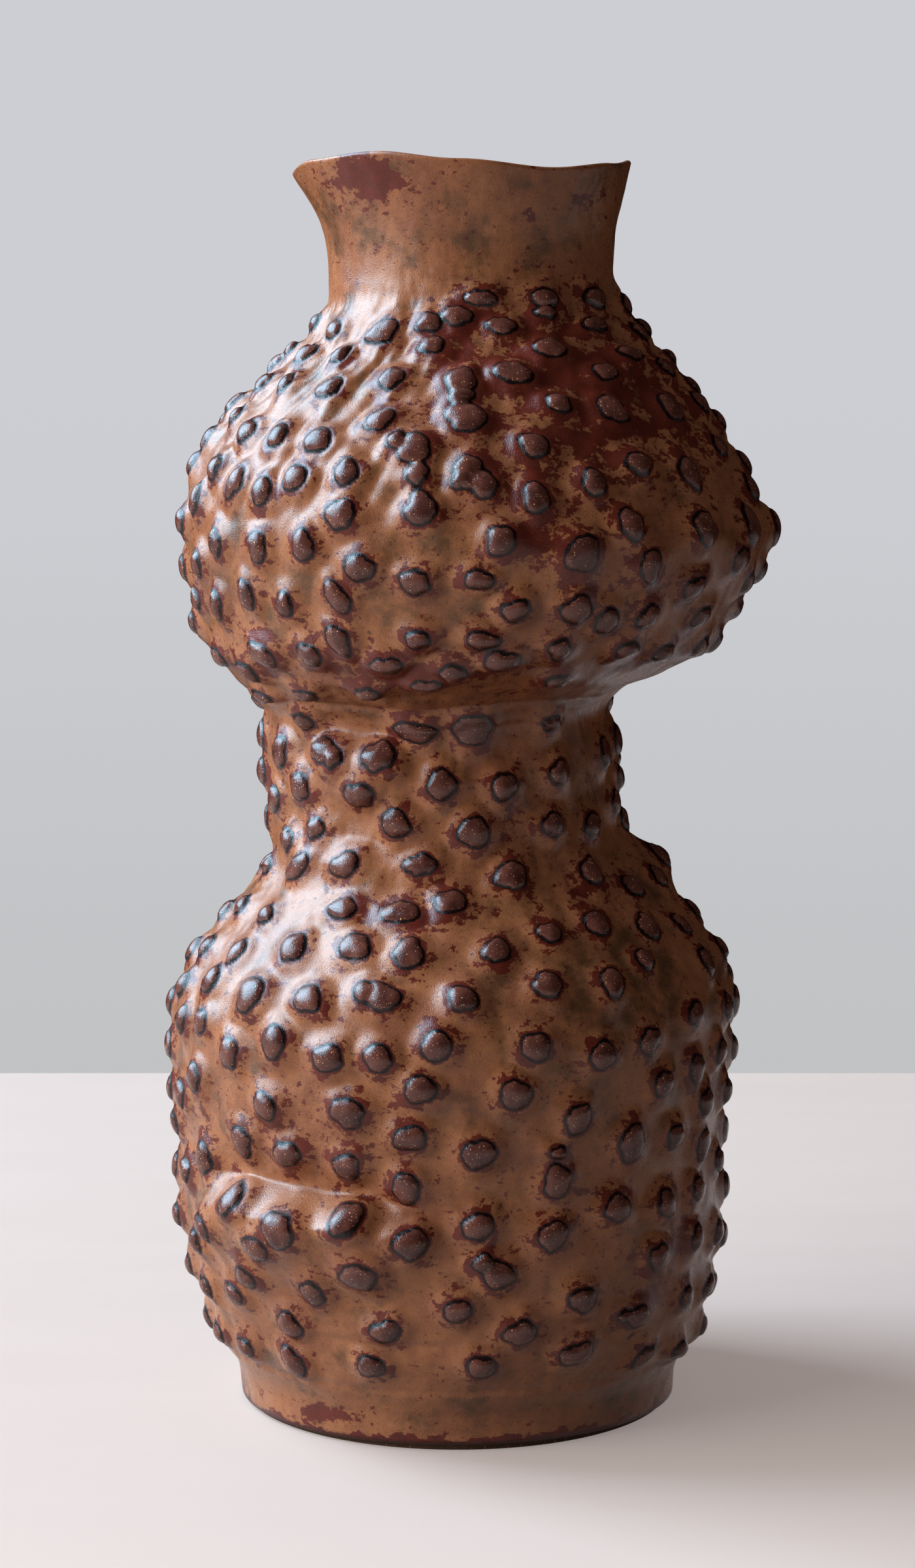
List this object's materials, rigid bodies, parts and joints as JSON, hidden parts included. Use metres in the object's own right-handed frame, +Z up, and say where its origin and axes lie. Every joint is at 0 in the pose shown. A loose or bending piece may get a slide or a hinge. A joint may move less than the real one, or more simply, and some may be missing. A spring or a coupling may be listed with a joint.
{
  "type": "ceramic vase",
  "caption": "Hand-built gourd-shaped stoneware vase: knob-covered lower and upper bellies joined by a leaning waist, on a plain foot, under a flared collar with a wavy lip.",
  "frame": {"origin": "centre of the foot, on the surface that the vase stands on", "axes": "+Z up through the mouth; -Y is the side that the picture shows; +X is to the right in the picture"},
  "size_m": [0.197, 0.1884, 0.3999],
  "materials": {
    "glaze": "satin tan and olive glaze, mottled with maroon, with dark outlines round the knobs",
    "bare_clay": "matt unglazed stoneware"
  },
  "bodies": {
    "root": {"base_slab": "bare_clay", "floor_coil": "glaze", "foot_band": "glaze", "belly_bowl": "glaze", "belly_shoulder": "glaze", "waist_ring": "glaze", "bulb_bowl": "glaze", "bulb_shoulder": "glaze", "neck_collar": "glaze"}
  },
  "joints": []
}
